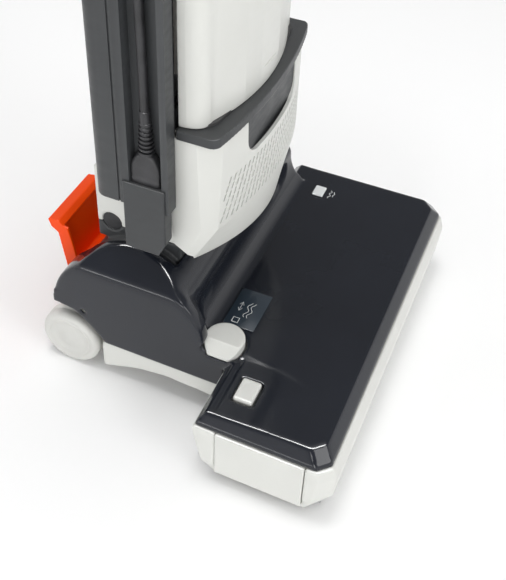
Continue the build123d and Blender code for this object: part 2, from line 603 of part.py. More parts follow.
def mains_lead():
    x, y = CHANNEL_X, CHANNEL_Y
    body = loft([
        Plane(origin=(x, y, SOCKET_TOP + 0.3)) * RectangleRounded(10, 25, 3),
        Plane(origin=(x, y, 282)) * RectangleRounded(10, 24, 3),
        Plane(origin=(x, y, 294)) * RectangleRounded(9.4, 14, 3),
    ], ruled=True)
    relief = Pos(x, y, 312) * Cone(5.0, 4.2, 36)
    keep("lead_connector", body + relief)
    route = [
        (x, y, 330.3),
        (x, y + 0.6, 400.0),
        (x + 0.1, y + 2.4, 500.0),
        (x + 0.2, y + 3.2, 600.0),
        (x + 0.2, y + 2.8, 700.0),
        (x - 0.4, y + 1.4, 790.0),
        (x - 2.5, y + 0.4, 850.0),
        (x - 10.0, y + 6.0, 892.0),
        (x - 15.5, y + 28.0, 914.0),
        (x - 14.5, y + 54.0, 914.0),
        (x + 2.0, y + 68.5, 899.0),
        (x + 25.0, y + 69.0, 876.0),
        (x + 45.0, y + 68.5, 852.0),
        (x + 60.0, y + 68.0, 826.0),
    ]
    keep("cord_run", tube(route, CORD_R))
    ring = Pos(BODY_X, (HOOK_LOW + HOOK_HIGH) / 2) * (
        SlotOverall(HOOK_HIGH - HOOK_LOW + 2 * HANK_OUTER, 2 * HANK_OUTER, rotation=90)
        - SlotOverall(HOOK_HIGH - HOOK_LOW + 2 * HANK_INNER, 2 * HANK_INNER, rotation=90)
    )
    plane = Plane(origin=(0, HANK_BACK, 0), x_dir=(1, 0, 0), z_dir=(0, -1, 0))
    keep("cord_hank", extrude(plane * ring, amount=HANK_BACK - HANK_FRONT))
    plug = rounded_block(BODY_X + 30, BODY_X + 66, HANK_BACK + 0.1, HANK_BACK + 26, 700, 742, 5)
    pins = [rod_z(2.4, BODY_X + 48 + side * 9.5, HANK_BACK + 13, 741, 760) for side in (-1, 1)]
    keep("mains_plug", plug + pins[0] + pins[1])
    clip = block(BODY_X - SPINE_HALF + 0.5, BODY_X - SPINE_HALF + 11.9, 22, 43.9, 600, 606)
    clip -= rod_z(CORD_R + 0.5, CHANNEL_X + 0.2, CHANNEL_Y + 3.2, 590, 610)
    keep("cord_clip", clip)


def main():
    head_cover()
    head_base()
    brush_tunnel()
    sole_plate()
    brush()
    brush_drive()
    end_cap()
    height_control()
    rear_wheels()
    head_small_parts()
    neck()
    motor_housing()
    spine()
    bag_bay()
    handle()
    cord_hooks()
    pedal()
    mains_lead()
    os.makedirs("parts", exist_ok=True)
    for name, shape in PARTS.items():
        export_step(Pos(0, CENTRE_Y, 0) * shape, f"parts/{name}.step")


main()
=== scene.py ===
"""Studio scene of a commercial upright vacuum cleaner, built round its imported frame.

Everything is in metres. +Z is up and -Y is the front. The helper at() takes drawing millimetres, in which
the recline axis stands 52 mm behind the drawing's own datum, and turns them into the frame's metres.
"""

from math import cos, pi, radians, sin

import bmesh
import bpy
from mathutils import Euler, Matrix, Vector
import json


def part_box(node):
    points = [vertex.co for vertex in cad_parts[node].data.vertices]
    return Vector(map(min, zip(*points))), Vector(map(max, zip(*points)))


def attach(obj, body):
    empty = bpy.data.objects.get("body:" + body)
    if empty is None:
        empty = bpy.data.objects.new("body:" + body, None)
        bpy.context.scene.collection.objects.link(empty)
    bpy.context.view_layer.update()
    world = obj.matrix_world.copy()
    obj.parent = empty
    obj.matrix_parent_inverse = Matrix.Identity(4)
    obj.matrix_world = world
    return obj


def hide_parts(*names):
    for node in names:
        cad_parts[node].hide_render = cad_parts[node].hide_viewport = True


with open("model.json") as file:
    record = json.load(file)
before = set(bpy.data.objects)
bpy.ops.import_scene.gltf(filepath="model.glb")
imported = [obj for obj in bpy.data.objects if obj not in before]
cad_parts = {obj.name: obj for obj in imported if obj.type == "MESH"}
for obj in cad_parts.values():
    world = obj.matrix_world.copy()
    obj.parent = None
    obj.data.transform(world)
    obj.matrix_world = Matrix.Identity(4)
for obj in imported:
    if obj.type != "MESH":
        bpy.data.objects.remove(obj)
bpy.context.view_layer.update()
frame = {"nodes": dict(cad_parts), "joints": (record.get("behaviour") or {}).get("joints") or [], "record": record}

RECORD = frame["record"]
NODE_SLOT = {s["node"]: s["material_slot"] for s in RECORD["subparts"]}
NODE_BODY = {n: body for body, names in RECORD["behaviour"]["bodies"].items() for n in names}
JOINT_POS = {j["name"]: j.get("pos_m") for j in frame["joints"]}
MM = 0.001
RECLINE_Y = 52.0
DATUM_Y = JOINT_POS["body_recline"][1] - RECLINE_Y * MM
BODY_X = 5.0


def at(x, y, z):
    """Drawing millimetres to frame metres."""
    return Vector((x * MM, y * MM + DATUM_Y, z * MM))


# ------------------------------------------------------------------ camera, light and floor

CAMERA_PLACE = (-633.97, -268.83, 758.99)
CAMERA_DOWN = 40.666
CAMERA_HEADING = -65.269
CAMERA_ROLL = 0.4865


def product_camera():
    """Camera beside the near front corner, looking down on the head."""
    camera = bpy.data.objects.new("camera", bpy.data.cameras.new("camera"))
    bpy.context.scene.collection.objects.link(camera)
    camera.location = at(*CAMERA_PLACE)
    aim = Euler((radians(90 - CAMERA_DOWN), 0, radians(CAMERA_HEADING))).to_matrix()
    roll = Euler((0, 0, radians(CAMERA_ROLL))).to_matrix()
    camera.rotation_euler = (aim @ roll).to_euler()
    camera.data.sensor_width = 36
    camera.data.lens = 59.06
    camera.data.shift_x = 0.0766
    camera.data.shift_y = -0.1558
    camera.data.clip_start = 0.02
    bpy.context.scene.camera = camera


def studio_world():
    """Surroundings that are bright at the horizon and overhead, and grey between."""
    horizon = 0.95
    stops = ((0.2, 0.9), (0.42, 0.26), (0.84, 0.26), (0.93, 1.0), (1.0, 1.0))
    world = bpy.data.worlds.new("studio")
    world.use_nodes = True
    tree = world.node_tree
    height = tree.nodes.new("ShaderNodeSeparateXYZ")
    tree.links.new(tree.nodes.new("ShaderNodeTexCoord").outputs["Generated"], height.inputs[0])
    ramp = tree.nodes.new("ShaderNodeValToRGB")
    tree.links.new(height.outputs["Z"], ramp.inputs["Fac"])
    ramp.color_ramp.elements.remove(ramp.color_ramp.elements[1])
    ramp.color_ramp.elements[0].color = (horizon, horizon, horizon, 1)
    for place, level in stops:
        ramp.color_ramp.elements.new(place).color = (level, level, level, 1)
    tree.links.new(ramp.outputs["Color"], tree.nodes["Background"].inputs["Color"])
    tree.nodes["Background"].inputs["Strength"].default_value = 1.25
    bpy.context.scene.world = world


def studio():
    product_camera()
    bpy.context.scene.view_settings.view_transform = "Standard"
    studio_world()
    area_light("overhead", (0.0, 0.2, 2.5), (0, 0, 0.1), 0.9, 0.9, 22)
    glint = area_light("edge_glint", (-0.1, 0.1, 2.3), (-0.1, 0.1, 0.1), 0.5, 3.4, 190)
    glint.visible_diffuse = False
    area_light("side_box", (-2.4, -0.9, 0.85), (0, 0, 0.2), 0.8, 0.8, 11)
    area_light("low_strip", (-2.3, 0.75, 0.25), (0, 0, 0.15), 1.3, 0.12, 6)
    area_light("front_fill", (-0.9, -2.6, 1.6), (0, 0, 0.3), 1.2, 1.2, 20)
    bpy.ops.mesh.primitive_plane_add(size=8)
    floor = bpy.context.object
    floor.name = "floor"
    floor.data.materials.append(plain_surface("floor_paper", (0.93, 0.93, 0.93), 0.9))


def area_light(name, place, aim, width, length, power):
    """Rectangular lamp at a place in metres, turned to face its aim."""
    lamp = bpy.data.lights.new(name, "AREA")
    lamp.shape = "RECTANGLE"
    lamp.size = width
    lamp.size_y = length
    lamp.energy = power
    holder = bpy.data.objects.new(name, lamp)
    bpy.context.scene.collection.objects.link(holder)
    holder.location = place
    holder.rotation_euler = (Vector(aim) - Vector(place)).to_track_quat("-Z", "Y").to_euler()
    return holder


# ------------------------------------------------------------------ materials


def plain_surface(name, color, roughness):
    material = bpy.data.materials.new(name)
    material.use_nodes = True
    shader = material.node_tree.nodes["Principled BSDF"]
    shader.inputs["Base Color"].default_value = (*color, 1)
    shader.inputs["Roughness"].default_value = roughness
    return material


class Graph:
    """Small helper round a material's node tree."""

    def __init__(self, name, color, roughness):
        self.material = plain_surface(name, color, roughness)
        self.tree = self.material.node_tree
        self.shader = self.tree.nodes["Principled BSDF"]
        self.coord = self.tree.nodes.new("ShaderNodeTexCoord").outputs["Object"]

    def link(self, source, target):
        self.tree.links.new(source, target)

    def noise(self, scale, detail=3.0, stretch=(1, 1, 1)):
        mapping = self.tree.nodes.new("ShaderNodeMapping")
        mapping.inputs["Scale"].default_value = stretch
        self.link(self.coord, mapping.inputs["Vector"])
        node = self.tree.nodes.new("ShaderNodeTexNoise")
        node.inputs["Scale"].default_value = scale
        node.inputs["Detail"].default_value = detail
        self.link(mapping.outputs["Vector"], node.inputs["Vector"])
        return node.outputs["Fac"]

    def wave(self, scale, axis, distortion=0.0):
        node = self.tree.nodes.new("ShaderNodeTexWave")
        node.bands_direction = axis
        node.inputs["Scale"].default_value = scale
        node.inputs["Distortion"].default_value = distortion
        self.link(self.coord, node.inputs["Vector"])
        return node.outputs["Fac"]

    def span(self, source, low, high, start=0.3, end=0.7):
        node = self.tree.nodes.new("ShaderNodeMapRange")
        node.inputs["From Min"].default_value = start
        node.inputs["From Max"].default_value = end
        node.inputs["To Min"].default_value = low
        node.inputs["To Max"].default_value = high
        self.link(source, node.inputs["Value"])
        return node.outputs["Result"]

    def blend(self, factor, first, second):
        node = self.tree.nodes.new("ShaderNodeMix")
        node.data_type = "RGBA"
        self.link(factor, node.inputs["Factor"])
        for socket, value in ((node.inputs[6], first), (node.inputs[7], second)):
            if isinstance(value, tuple):
                socket.default_value = (*value, 1)
            else:
                self.link(value, socket)
        return node.outputs[2]

    def bump(self, source, strength, distance):
        node = self.tree.nodes.new("ShaderNodeBump")
        node.inputs["Strength"].default_value = strength
        node.inputs["Distance"].default_value = distance
        self.link(source, node.inputs["Height"])
        self.link(node.outputs["Normal"], self.shader.inputs["Normal"])

    def paint(self, source):
        self.link(source, self.shader.inputs["Base Color"])

    def matt(self, source):
        self.link(source, self.shader.inputs["Roughness"])

    def pointiness(self):
        return self.tree.nodes.new("ShaderNodeNewGeometry").outputs["Pointiness"]


def scaled(color, factor):
    return tuple(min(1.0, c * factor) for c in color)


def moulded(name, color, roughness, grain=2600, bump=0.10, tint=0.05, coat=0.0, wear=0.0, specular=0.5):
    """Injection-moulded plastic: clouded tint, spark-eroded grain, uneven gloss and rubbed edges."""
    g = Graph(name, color, roughness)
    cloud = g.noise(11, 4)
    base = g.blend(g.span(cloud, 0, 1), scaled(color, 1 - tint), scaled(color, 1 + tint))
    if wear:
        rubbed = g.span(g.pointiness(), 0, wear, 0.53, 0.62)
        base = g.blend(rubbed, base, scaled(color, 1.9))
    g.paint(base)
    scuff = g.noise(60, 6, (1, 1, 3))
    g.matt(g.span(scuff, roughness * 0.86, roughness * 1.2))
    g.bump(g.noise(grain, 2), bump, 0.00025)
    g.shader.inputs["Coat Weight"].default_value = coat
    g.shader.inputs["Coat Roughness"].default_value = 0.04
    g.shader.inputs["Specular IOR Level"].default_value = specular
    return g.material


def brushed(name, color, roughness, stretch=(1, 1, 60)):
    """Brushed or drawn metal with fine lines along one axis."""
    g = Graph(name, color, roughness)
    lines = g.noise(700, 3, stretch)
    g.paint(g.blend(g.span(lines, 0, 1), scaled(color, 0.86), scaled(color, 1.1)))
    g.matt(g.span(lines, roughness * 0.75, roughness * 1.3))
    g.shader.inputs["Metallic"].default_value = 1.0
    g.bump(lines, 0.12, 0.0001)
    return g.material


def rubber(name, color, roughness, ripple=1800):
    """Matt elastomer with dusty bloom and, for a lead, a faint ripple along it."""
    g = Graph(name, color, roughness)
    dust = g.noise(45, 7)
    g.paint(g.blend(g.span(dust, 0, 1, 0.42, 0.8), color, scaled(color, 2.3)))
    g.matt(g.span(dust, roughness * 0.8, min(1.0, roughness * 1.15)))
    g.bump(g.noise(ripple, 2), 0.12, 0.0003)
    return g.material


def fleece(name, color):
    """Nonwoven filter cloth: matted fibres, pressed dimples and soft sheen."""
    g = Graph(name, color, 0.92)
    fibres = g.noise(900, 8, (1, 1, 0.25))
    weft = g.wave(260, "Z", 1.5)
    g.paint(g.blend(g.span(fibres, 0, 1), scaled(color, 0.8), scaled(color, 1.08)))
    both = g.tree.nodes.new("ShaderNodeMath")
    both.operation = "ADD"
    g.link(fibres, both.inputs[0])
    g.link(g.span(weft, 0, 0.4, 0, 1), both.inputs[1])
    g.bump(both.outputs[0], 0.4, 0.0005)
    g.shader.inputs["Sheen Weight"].default_value = 0.35
    return g.material


def foam(name, color):
    """Open-cell foam: its pores marked as small dark spots whose darkness is painted shade, with a bump from the
    same cells.
    """
    g = Graph(name, color, 0.95)
    node = g.tree.nodes.new("ShaderNodeTexVoronoi")
    node.inputs["Scale"].default_value = 500
    g.link(g.coord, node.inputs["Vector"])
    cells = node.outputs["Distance"]
    # The dark spots are painted shade in the pores.
    g.paint(g.blend(g.span(cells, 0, 1, 0.1, 0.6), scaled(color, 0.3), color))
    g.bump(cells, 0.6, 0.0008)
    return g.material


def make_materials():
    """One material for each slot, and the tint of the level plate."""
    color = {m["slot"]: tuple(m["base_color"][:3]) for m in RECORD["materials"]}
    gloss = (0.012, 0.014, 0.02)
    dark = scaled(color["body_dark"], 0.62)
    light = scaled(color["shell_light"], 0.9)
    orange = (0.93, 0.07, 0.001)
    wheel = scaled(color["wheel_light"], 0.92)
    tinted = (0.024, 0.036, 0.05)
    return {
        "cover_gloss": moulded("cover_gloss", gloss, 0.12, grain=1400, bump=0.012, tint=0.12, wear=0.2,
                               specular=0.42),
        "body_dark": moulded("body_dark", dark, 0.42, bump=0.12, tint=0.06, wear=0.3, specular=0.4),
        "shell_light": moulded("shell_light", light, 0.36, bump=0.07, tint=0.025),
        "accent_orange": moulded("accent_orange", orange, 0.32, grain=2400, bump=0.05, tint=0.04,
                                 specular=0.18),
        "part_black": moulded("part_black", color["part_black"], 0.45, grain=2200, bump=0.14, tint=0.15,
                              wear=0.3),
        "wheel_light": moulded("wheel_light", wheel, 0.45, grain=1900, bump=0.14),
        "lens_white": moulded("lens_white", color["lens_white"], 0.12, grain=900, bump=0.02, tint=0.03,
                              coat=0.6),
        "board_green": moulded("board_green", color["board_green"], 0.3, grain=600, bump=0.2, tint=0.4,
                               coat=0.4),
        "motor_metal": brushed("motor_metal", color["motor_metal"], 0.5, stretch=(30, 1, 1)),
        "steel": brushed("steel", color["steel"], 0.3),
        "plate_tint": moulded("plate_tint", tinted, 0.16, grain=900, bump=0.01, coat=0.3),
        "rubber_black": rubber("rubber_black", color["rubber_black"], 0.7),
        "cord_rubber": rubber("cord_rubber", color["cord_rubber"], 0.52, ripple=900),
        "plug_black": rubber("plug_black", color["plug_black"], 0.45, ripple=1500),
        "bristle": rubber("bristle", color["bristle"], 0.6, ripple=3000),
        "bag_cloth": fleece("bag_cloth", color["bag_cloth"]),
        "filter_foam": foam("filter_foam", color["filter_foam"]),
    }


MATERIALS = make_materials()


# ------------------------------------------------------------------ mesh helpers


def new_piece(name, verts, faces):
    mesh = bpy.data.meshes.new(name)
    mesh.from_pydata([tuple(v) for v in verts], [], faces)
    tidy = bmesh.new()
    tidy.from_mesh(mesh)
    bmesh.ops.recalc_face_normals(tidy, faces=tidy.faces)
    tidy.to_mesh(mesh)
    tidy.free()
    piece = bpy.data.objects.new(name, mesh)
    bpy.context.scene.collection.objects.link(piece)
    return piece


def ring_faces(rings):
    """Quads between neighbouring rings of equal length, with a cap on the first and the last ring."""
    count = len(rings[0])
    faces = []
    for k in range(len(rings) - 1):
        for i in range(count):
            j = (i + 1) % count
            faces.append((k * count + i, k * count + j, (k + 1) * count + j, (k + 1) * count + i))
    faces.append(tuple(range(count))[::-1])
    last = (len(rings) - 1) * count
    faces.append(tuple(last + i for i in range(count)))
    return faces


def ring_piece(name, rings):
    return new_piece(name, [v for ring in rings for v in ring], ring_faces(rings))


def shell_piece(name, outer, inner):
    """Thin-walled piece closed at the far end of both ring stacks and open at their first rings."""
    return ring_piece(name, inner[::-1] + outer)


def lathe_x(name, profile, x, y, z, direction=1, steps=72):
    """Turned piece about an X axis from (offset, radius) pairs, in drawing millimetres."""
    rings = []
    for offset, radius in profile:
        ring = []
        for i in range(steps):
            angle = 2 * pi * i / steps
            ring.append(at(x + direction * offset, y + radius * cos(angle), z + radius * sin(angle)))
        rings.append(ring)
    return ring_piece(name, rings)


def side_slab(name, outline, x0, x1):
    """Prism of a (Y, Z) outline between two X planes."""
    return ring_piece(name, [[at(x, y, z) for y, z in outline] for x in (x0, x1)])


def front_slab(name, outline, y0, y1):
    """Prism of an (X, Z) outline between two Y planes."""
    return ring_piece(name, [[at(x, y, z) for x, z in outline] for y in (y0, y1)])


def rounded_outline(a0, a1, b0, b1, radius, steps=6):
    """Rectangle with round corners as a list of pairs."""
    points = []
    for ca, cb, start in (
        (a1 - radius, b1 - radius, 0),
        (a0 + radius, b1 - radius, 90),
        (a0 + radius, b0 + radius, 180),
        (a1 - radius, b0 + radius, 270),
    ):
        for i in range(steps + 1):
            angle = radians(start + 90 * i / steps)
            points.append((ca + radius * cos(angle), cb + radius * sin(angle)))
    return points


def add_modifier(piece, kind, **values):
    modifier = piece.modifiers.new(kind.lower(), kind)
    for key, value in values.items():
        setattr(modifier, key, value)
    return modifier


def bake(piece):
    """Turns the piece's modifiers into its mesh."""
    bpy.context.view_layer.update()
    graph = bpy.context.evaluated_depsgraph_get()
    mesh = bpy.data.meshes.new_from_object(piece.evaluated_get(graph))
    piece.modifiers.clear()
    piece.data = mesh
    return piece


def carve(piece, cutters):
    """Cuts each cutter away in turn; the cutters are used up."""
    for cutter in cutters:
        add_modifier(piece, "BOOLEAN", object=cutter, operation="DIFFERENCE", solver="EXACT")
        bake(piece)
        bpy.data.objects.remove(cutter)
    return piece


def join(pieces, name):
    """One mesh object from several."""
    verts, faces = [], []
    for piece in pieces:
        start = len(verts)
        verts += [v.co.copy() for v in piece.data.vertices]
        faces += [tuple(start + i for i in p.vertices) for p in piece.data.polygons]
        bpy.data.objects.remove(piece)
    mesh = bpy.data.meshes.new(name)
    mesh.from_pydata([tuple(v) for v in verts], [], faces)
    joined = bpy.data.objects.new(name, mesh)
    bpy.context.scene.collection.objects.link(joined)
    return joined


def smooth_shading(piece, angle=35):
    piece.data.shade_smooth()
    piece.data.set_sharp_from_angle(angle=radians(angle))


def edge_bevel(piece, width, segments=3, angle=30):
    add_modifier(piece, "BEVEL", width=width * MM, segments=segments, limit_method="ANGLE",
                 angle_limit=radians(angle), harden_normals=False)
    return bake(piece)


def soften(piece, voxel, rounds):
    """Voxel remesh and relax, which leaves moulded radii on every edge."""
    add_modifier(piece, "REMESH", mode="VOXEL", voxel_size=voxel * MM, use_smooth_shade=True)
    add_modifier(piece, "SMOOTH", factor=0.5, iterations=rounds)
    bake(piece)
    piece.data.shade_smooth()
    return piece


def relax(piece, low, high, rounds):
    """Extra rounding of the part of a mesh that lies in a box given in drawing millimetres."""
    floor, ceiling = at(*low), at(*high)
    chosen = [v.index for v in piece.data.vertices
              if all(a < c < b for a, c, b in zip(floor, v.co, ceiling))]
    group = piece.vertex_groups.new(name="relax")
    group.add(chosen, 1.0, "REPLACE")
    add_modifier(piece, "SMOOTH", factor=0.5, iterations=rounds, vertex_group="relax")
    bake(piece)
    piece.vertex_groups.clear()
    piece.data.shade_smooth()


def cad_copy(node, name):
    """A welded copy of a CAD node's mesh to work on."""
    mesh = frame["nodes"][node].data.copy()
    mesh.name = name
    mesh.materials.clear()
    work = bmesh.new()
    work.from_mesh(mesh)
    bmesh.ops.remove_doubles(work, verts=work.verts, dist=0.00001)
    work.to_mesh(mesh)
    work.free()
    piece = bpy.data.objects.new(name, mesh)
    bpy.context.scene.collection.objects.link(piece)
    return piece


def stand_for(piece, *nodes, slot=None):
    """Gives the piece its material and body, and hides the CAD nodes it stands for."""
    slot_name = slot or NODE_SLOT[nodes[0]]
    piece.data.materials.clear()
    piece.data.materials.append(MATERIALS[slot_name])
    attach(piece, NODE_BODY[nodes[0]])
    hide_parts(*nodes)
    return piece


def trim(piece, body, slot_name):
    """A piece of extra detail that stands for no CAD node."""
    piece.data.materials.clear()
    piece.data.materials.append(MATERIALS[slot_name])
    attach(piece, body)
    return piece


def softened_node(node, name, voxel, rounds, cutters=()):
    """A softened copy of a CAD node that stands for it, with the cutters taken away first."""
    piece = cad_copy(node, name)
    carve(piece, cutters)
    soften(piece, voxel, rounds)
    return stand_for(piece, node)


# ------------------------------------------------------------------ mains lead

CHANNEL = (BODY_X - 110.5, 30.0)
CORD_RADIUS = 3.75
HOOK_LOW = 560.0
HOOK_HIGH = 900.0
HANK_FRONT = 83.5
PLUG_X = BODY_X + 48
PLUG_Y = 126.6


def lead_route():
    """Control points of the whole lead: connector, channel, over the side, wound hank, plug."""
    x, y = CHANNEL
    points = [
        (x, y, 330.3),
        (x, y + 0.6, 400.0),
        (x + 0.1, y + 2.4, 500.0),
        (x + 0.2, y + 3.2, 600.0),
        (x + 0.2, y + 2.8, 700.0),
        (x - 0.2, y + 1.6, 765.0),
        (x - 0.4, y + 1.2, 800.0),
        (x - 2.9, y + 3.7, 825.0),
        (x - 10.6, y + 13.6, 843.0),
        (x - 15.0, y + 32.4, 853.5),
        (x - 12.8, y + 54.2, 855.7),
        (x - 1.5, y + 72.2, 850.0),
        (x + 15.7, y + 79.9, 838.7),
        (x + 31.5, y + 78.8, 823.5),
        (x + 44.0, y + 73.8, 801.7),
        (x + 52.0, y + 68.5, 775.0),
        (x + 58.0, y + 62.0, 746.0),
        (x + 62.0, y + 58.2, 712.0),
    ]
    diameter = 2 * CORD_RADIUS
    radii = (44.0, 36.3, 28.4)
    turn = 0
    for row in range(4):
        depth = HANK_FRONT + CORD_RADIUS + row * diameter
        order = radii if row % 2 == 0 else radii[::-1]
        for radius in order:
            loose = 0.35 * sin(2.1 * turn)
            points += hank_turn(radius + loose, depth)[3 if turn == 0 else 0:]
            turn += 1
    points += [
        (BODY_X - 41, PLUG_Y - 12.6, 850.0),
        (BODY_X - 40, PLUG_Y - 8.6, 790.0),
        (BODY_X - 36, PLUG_Y - 8.1, 735.0),
        (BODY_X - 33, PLUG_Y - 7.6, 690.0),
    ]
    for k in range(7):
        angle = radians(180 + 30 * k)
        points.append((BODY_X + 8 + 40 * cos(angle), PLUG_Y - 1.2 * (6 - k), 650 + 40 * sin(angle)))
    points.append((PLUG_X, PLUG_Y, 688.0))
    return [at(*p) for p in points]


def hook_bend(radius, depth, height, start):
    """Half a turn round one hook, from its starting angle in degrees."""
    angles = [radians(start + 30 * k) for k in range(7)]
    return [(BODY_X + radius * cos(a), depth, height + radius * sin(a)) for a in angles]


def hank_turn(radius, depth):
    """One long turn round both hooks, going down on the near side and up on the far side."""
    bend = radius * 1.025
    heights = (850.0, 790.0, 730.0, 670.0, 610.0)
    down = [(BODY_X - radius, depth, z) for z in heights]
    up = [(BODY_X + radius, depth, z) for z in reversed(heights)]
    return down + hook_bend(bend, depth, HOOK_LOW, 180) + up + hook_bend(bend, depth, HOOK_HIGH, 0)


def mains_lead():
    curve = bpy.data.curves.new("mains_lead", "CURVE")
    curve.dimensions = "3D"
    curve.bevel_depth = CORD_RADIUS * MM
    curve.bevel_resolution = 4
    curve.resolution_u = 6
    curve.use_fill_caps = True
    route = lead_route()
    spline = curve.splines.new("NURBS")
    spline.points.add(len(route) - 1)
    for point, place in zip(spline.points, route):
        point.co = (*place, 1)
    spline.order_u = 3
    spline.use_endpoint_u = True
    lead = bpy.data.objects.new("mains_lead", curve)
    bpy.context.scene.collection.objects.link(lead)
    plug = plug_piece()
    stand_for(lead, "cord_run", "cord_hank")


def super_ring(x, y, z, half_x, half_y, power=4.0, steps=40):
    """Level ring between an ellipse and a rectangle."""
    ring = []
    for i in range(steps):
        angle = 2 * pi * i / steps
        c, s = cos(angle), sin(angle)
        px = half_x * abs(c) ** (2 / power) * (1 if c >= 0 else -1)
        py = half_y * abs(s) ** (2 / power) * (1 if s >= 0 else -1)
        ring.append(at(x + px, y + py, z))
    return ring


def plug_piece():
    """Moulded two-pin plug with a ribbed tail, its pins up."""
    # height, half width, half depth and squareness of each ring
    levels = [(672, 3.9, 3.9, 2.0), (674, 5.0, 5.0, 2.0)]
    for k in range(4):
        z = 676 + 5.2 * k
        rib = 5.2 + 0.35 * k
        neck = rib - 1.1
        levels += [(z, rib, rib, 2.0), (z + 2.6, rib, rib, 2.0)]
        levels += [(z + 3.0, neck, neck, 2.0), (z + 4.8, neck, neck, 2.0)]
    levels += [
        (698, 7.5, 7.0, 2.4), (702, 12, 9.5, 3.0), (708, 15.5, 11.5, 3.2), (716, 16.5, 12.4, 3.2),
        (723, 15.6, 11.6, 3.2), (731, 17.4, 12.6, 3.6), (739, 17.9, 12.8, 4.0), (741.4, 17.2, 12.2, 4.0),
        (742, 16, 11, 4.0),
    ]
    body = ring_piece("plug_body", [super_ring(PLUG_X, PLUG_Y, z, a, b, p) for z, a, b, p in levels])
    smooth_shading(body, 50)
    stand_for(body, "mains_plug")
    pins = []
    for side in (-1, 1):
        x = PLUG_X + side * 9.5
        sizes = [(741, 2.4), (758, 2.4), (759.4, 1.9), (760, 1.0)]
        pins.append(ring_piece("pin", [super_ring(x, PLUG_Y, z, r, r, 2.0, 20) for z, r in sizes]))
    pin_pair = join(pins, "plug_pins")
    smooth_shading(pin_pair)
    trim(pin_pair, "upright", "steel")
    return [body, pin_pair]


def lead_connector():
    """Appliance connector with wide shoulders and a ribbed, tapering strain relief."""
    x, y = CHANNEL
    # height, half width, half depth and squareness of each ring
    levels = [
        (258.3, 4.8, 12.9, 6.0), (259.3, 5.3, 13.4, 6.0), (264, 5.4, 13.5, 6.0), (264.6, 5.0, 13.1, 6.0),
        (268, 5.1, 13.4, 5.6), (274, 5.2, 13.3, 5.0), (279, 5.2, 12.2, 4.4), (283, 5.1, 10.2, 3.6),
        (286, 4.9, 8.4, 3.0), (287.6, 4.6, 6.6, 2.4),
    ]
    for k in range(8):
        z = 288.5 + 4.0 * k
        rib = 6.9 - 0.26 * k
        flat = rib * 0.86
        levels += [(z, flat - 0.3, rib, 2.0), (z + 0.4, flat, rib + 0.3, 2.0), (z + 2.0, flat, rib + 0.2, 2.0)]
        levels += [(z + 2.3, 4.0, 4.5, 2.0), (z + 3.7, 4.0, 4.5, 2.0)]
    levels += [(330.0, 4.4, 4.4, 2.0), (330.3, 4.0, 4.0, 2.0)]
    body = ring_piece("connector", [super_ring(x, y, z, a, b, p) for z, a, b, p in levels])
    smooth_shading(body, 50)
    stand_for(body, "lead_connector")


# ------------------------------------------------------------------ power head

ARM_NEAR = -118.0
AXLE_Y = 101.0
AXLE_Z = 80.0
WHEEL_Y = 120.3
WHEEL_RADIUS = 31.9
BRUSH_Y = -112.0
BRUSH_Z = 37.0


def arm_nose(name, side_x, inward):
    """Full front end of an arm's hump, which fades into the saddle on its inner side."""
    full = [(-24, 87), (-27, 98), (-25, 110), (-18, 123), (-7, 136), (9, 148), (30, 156), (45, 158), (45, 87)]
    slim = [(-24, 87), (-16, 96), (-12, 106), (-10, 116), (-7, 125), (2, 139), (22, 154), (45, 158), (45, 87)]
    rings = []
    for k in range(13):
        depth = 0.2 + 2.4 * k
        share = 0.5 + 0.5 * cos(pi * min(1.0, max(0.0, (depth - 9) / 19)))
        crest = 138 + depth * 1.24
        ring = []
        for (y0, z0), (y1, z1) in zip(slim, full):
            z = z0 + (z1 - z0) * share
            ring.append(at(side_x + inward * depth, y0 + (y1 - y0) * share, min(z, crest)))
        rings.append(ring)
    return ring_piece("nose_" + name, rings)


def end_drop():
    """Cutter that lowers the near end of the cover, less and less towards the front."""
    rings = []
    for y, low, inner in ((-40, 86.0, -104), (-70, 86.3, -105), (-110, 87.4, -108), (-150, 88.3, -114)):
        outline = [(-195, low), (inner - 6, low), (inner, 88.4), (inner, 100), (-195, 100)]
        rings.append([at(x, y, z) for x, z in outline])
    return ring_piece("end_drop", rings)


def head_cover():
    """Gloss cover with the near arm's full nose, rounded most on the arms and a little on the deck."""
    hole = lathe_x("axle_hole", [(-4, 2.6), (6, 2.6)], ARM_NEAR, AXLE_Y, AXLE_Z, 1, 24)
    cover = carve(cad_copy("head_cover", "cover_base"), [end_drop(), hole])
    cover = join([cover, arm_nose("near", ARM_NEAR, 1)], "cover_shell")
    soften(cover, 1.25, 6)
    arm_rounds = 60
    deck_rounds = 9
    relax(cover, (-130, -40, 97), (-84, 150, 180), arm_rounds)
    relax(cover, (117, -40, 97), (160, 150, 180), arm_rounds)
    relax(cover, (-200, -185, 79), (200, -22, 95), deck_rounds)
    stand_for(cover, "head_cover")


def release_button():
    """Button key, set a little lower than its CAD solid."""
    sink = 1.3
    key = softened_node("release_button", "button_key", 0.6, 7)
    for vertex in key.data.vertices:
        vertex.co.z -= sink * MM


def power_head():
    head_cover()
    softened_node("head_base", "base_shell", 1.5, 5)
    softened_node("end_cap", "cap_panel", 1.0, 4)
    release_button()
    softened_node("height_knob", "pile_knob", 0.5, 4)
    wheels()
    brush()
    pictograms()
    level_plate()


